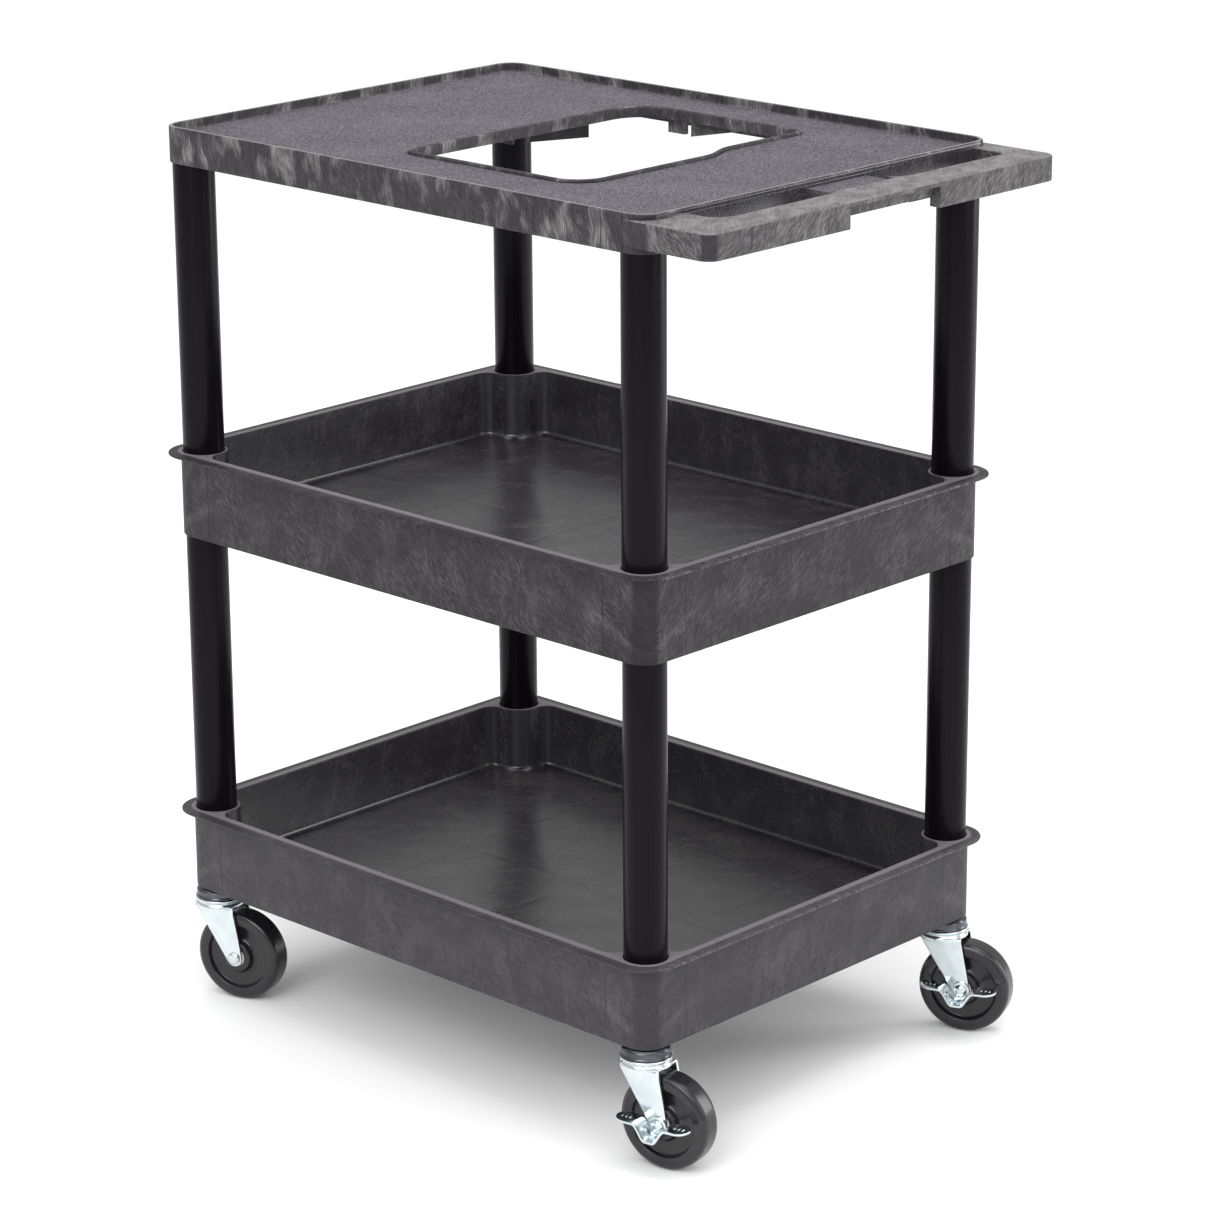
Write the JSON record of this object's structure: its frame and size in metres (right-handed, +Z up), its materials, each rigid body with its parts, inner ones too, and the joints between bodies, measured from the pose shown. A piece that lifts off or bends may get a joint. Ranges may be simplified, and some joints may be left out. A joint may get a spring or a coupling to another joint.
{
  "type": "rolling utility cart",
  "caption": "Moulded utility cart: flat top with a stepped cutout and push handle over deep tub shelves, on tube legs and swivel casters with brakes at the handle end.",
  "frame": {"origin": "middle of the footprint of the whole cart, on the floor", "axes": "+X towards the handle end, +Z up, +Y to the right hand of the person who pushes at the handle"},
  "size_m": [0.6946, 0.4884, 0.858],
  "materials": {
    "shelf_plastic": "charcoal moulded polyethylene with pale brushed flow marks",
    "leg_tube": "satin black extruded tube",
    "plug_plastic": "black moulded plug",
    "wheel_plastic": "hard black wheel, semi-gloss",
    "bush_nylon": "natural nylon",
    "bright_zinc": "bright zinc plated pressed steel",
    "dark_zinc": "darker zinc plated cup"
  },
  "bodies": {
    "frame": {"top_shelf": "shelf_plastic", "middle_tub": "shelf_plastic", "lower_tub": "shelf_plastic", "upper_leg_handle_left": "leg_tube", "lower_leg_handle_left": "leg_tube", "stem_plug_handle_left": "plug_plastic", "caster_stem_handle_left": "bright_zinc", "bearing_cup_handle_left": "dark_zinc", "upper_leg_handle_right": "leg_tube", "lower_leg_handle_right": "leg_tube", "stem_plug_handle_right": "plug_plastic", "caster_stem_handle_right": "bright_zinc", "bearing_cup_handle_right": "dark_zinc", "upper_leg_far_left": "leg_tube", "lower_leg_far_left": "leg_tube", "stem_plug_far_left": "plug_plastic", "caster_stem_far_left": "bright_zinc", "bearing_cup_far_left": "dark_zinc", "upper_leg_far_right": "leg_tube", "lower_leg_far_right": "leg_tube", "stem_plug_far_right": "plug_plastic", "caster_stem_far_right": "bright_zinc", "bearing_cup_far_right": "dark_zinc"},
    "caster_handle_left": {"fork_handle_left": "bright_zinc", "ball_ring_handle_left": "bright_zinc", "axle_bolt_handle_left": "bright_zinc", "axle_nut_handle_left": "bright_zinc", "axle_sleeve_handle_left": "bright_zinc"},
    "wheel_body_handle_left": {"wheel_handle_left": "wheel_plastic", "hub_bush_handle_left": "bush_nylon"},
    "brake_handle_left": {"brake_lever_handle_left": "bright_zinc"},
    "caster_handle_right": {"fork_handle_right": "bright_zinc", "ball_ring_handle_right": "bright_zinc", "axle_bolt_handle_right": "bright_zinc", "axle_nut_handle_right": "bright_zinc", "axle_sleeve_handle_right": "bright_zinc"},
    "wheel_body_handle_right": {"wheel_handle_right": "wheel_plastic", "hub_bush_handle_right": "bush_nylon"},
    "brake_handle_right": {"brake_lever_handle_right": "bright_zinc"},
    "caster_far_left": {"fork_far_left": "bright_zinc", "ball_ring_far_left": "bright_zinc", "axle_bolt_far_left": "bright_zinc", "axle_nut_far_left": "bright_zinc", "axle_sleeve_far_left": "bright_zinc"},
    "wheel_body_far_left": {"wheel_far_left": "wheel_plastic", "hub_bush_far_left": "bush_nylon"},
    "caster_far_right": {"fork_far_right": "bright_zinc", "ball_ring_far_right": "bright_zinc", "axle_bolt_far_right": "bright_zinc", "axle_nut_far_right": "bright_zinc", "axle_sleeve_far_right": "bright_zinc"},
    "wheel_body_far_right": {"wheel_far_right": "wheel_plastic", "hub_bush_far_right": "bush_nylon"}
  },
  "joints": [
    {"name": "swivel_handle_left", "type": "hinge", "parent": "frame", "child": "caster_handle_left", "pos_m": [0.2528, -0.20736, 0.1], "axis": [0, 0, 1], "continuous": true},
    {"name": "roll_handle_left", "type": "hinge", "parent": "caster_handle_left", "child": "wheel_body_handle_left", "pos_m": [0.27636, -0.20278, 0.04445], "axis": [-0.1908, 0.9816, 0], "continuous": true},
    {"name": "brake_rock_handle_left", "type": "hinge", "parent": "caster_handle_left", "child": "brake_handle_left", "pos_m": [0.27636, -0.20278, 0.04445], "axis": [-0.1908, 0.9816, 0], "range_deg": [0, 20]},
    {"name": "swivel_handle_right", "type": "hinge", "parent": "frame", "child": "caster_handle_right", "pos_m": [0.2528, 0.20684, 0.1], "axis": [0, 0, 1], "continuous": true},
    {"name": "roll_handle_right", "type": "hinge", "parent": "caster_handle_right", "child": "wheel_body_handle_right", "pos_m": [0.27505, 0.21583, 0.04445], "axis": [-0.3746, 0.9272, 0], "continuous": true},
    {"name": "brake_rock_handle_right", "type": "hinge", "parent": "caster_handle_right", "child": "brake_handle_right", "pos_m": [0.27505, 0.21583, 0.04445], "axis": [-0.3746, 0.9272, 0], "range_deg": [0, 20]},
    {"name": "swivel_far_left", "type": "hinge", "parent": "frame", "child": "caster_far_left", "pos_m": [-0.3138, -0.20736, 0.1], "axis": [0, 0, 1], "continuous": true},
    {"name": "roll_far_left", "type": "hinge", "parent": "caster_far_left", "child": "wheel_body_far_left", "pos_m": [-0.29097, -0.19994, 0.04445], "axis": [-0.309, 0.9511, 0], "continuous": true},
    {"name": "swivel_far_right", "type": "hinge", "parent": "frame", "child": "caster_far_right", "pos_m": [-0.3138, 0.20684, 0.1], "axis": [0, 0, 1], "continuous": true},
    {"name": "roll_far_right", "type": "hinge", "parent": "caster_far_right", "child": "wheel_body_far_right", "pos_m": [-0.29051, 0.21265, 0.04445], "axis": [-0.2419, 0.9703, 0], "continuous": true}
  ]
}
